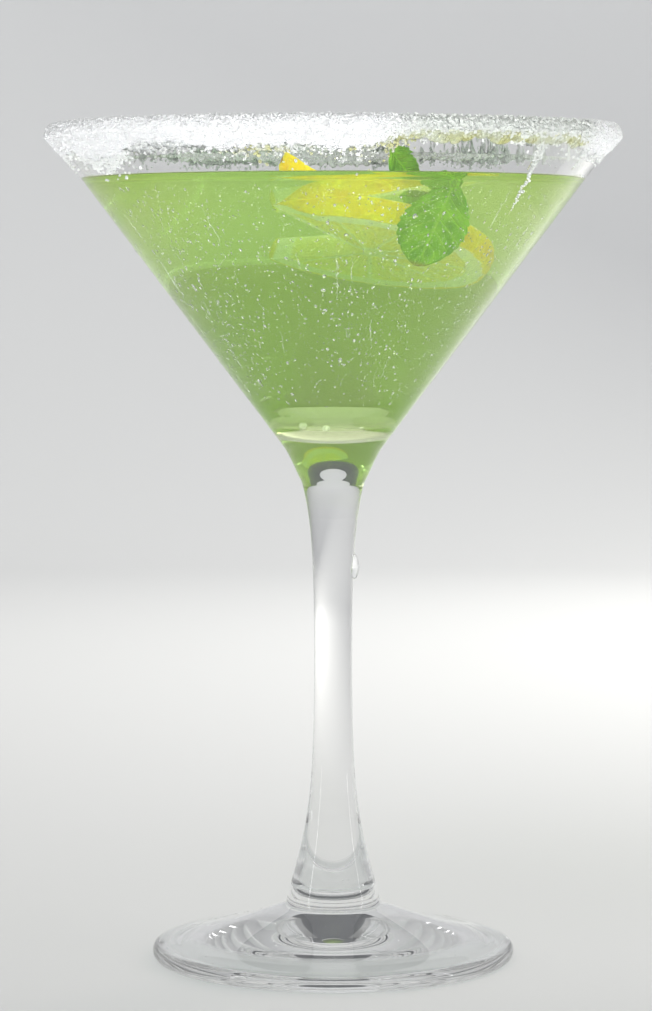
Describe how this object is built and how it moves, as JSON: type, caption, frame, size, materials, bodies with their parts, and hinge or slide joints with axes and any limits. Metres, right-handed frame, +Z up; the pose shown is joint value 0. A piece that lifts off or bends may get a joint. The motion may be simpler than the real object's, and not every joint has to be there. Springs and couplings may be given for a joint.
{
  "type": "lemon drop martini",
  "caption": "Stemmed cone-shaped cocktail glass with a sugared rim, filled with a cloudy pale green lemon drink and garnished with a slit lemon wheel and mint leaves.",
  "frame": {"origin": "middle of the ring that the foot rests on, at the level of the surface below it", "axes": "+Z up along the stem; -Y is the side that the lemon's raised front edge and the large mint leaf look towards"},
  "size_m": [0.1196, 0.1196, 0.1744],
  "materials": {
    "clear_glass": "smooth clear glass, wet with fine condensation",
    "cloudy_drink": "cloudy pale green liquid",
    "sugar": "white granulated sugar crust, partly melted",
    "lemon": "waxy dimpled yellow rind, white pith, wet pale yellow flesh",
    "mint": "veined fresh green leaf, wet"
  },
  "bodies": {
    "root": {"glass": "clear_glass", "drink": "cloudy_drink", "sugar_rim": "sugar", "lemon_slice": "lemon", "mint_leaf_large": "mint", "mint_leaf_small": "mint"}
  },
  "joints": []
}
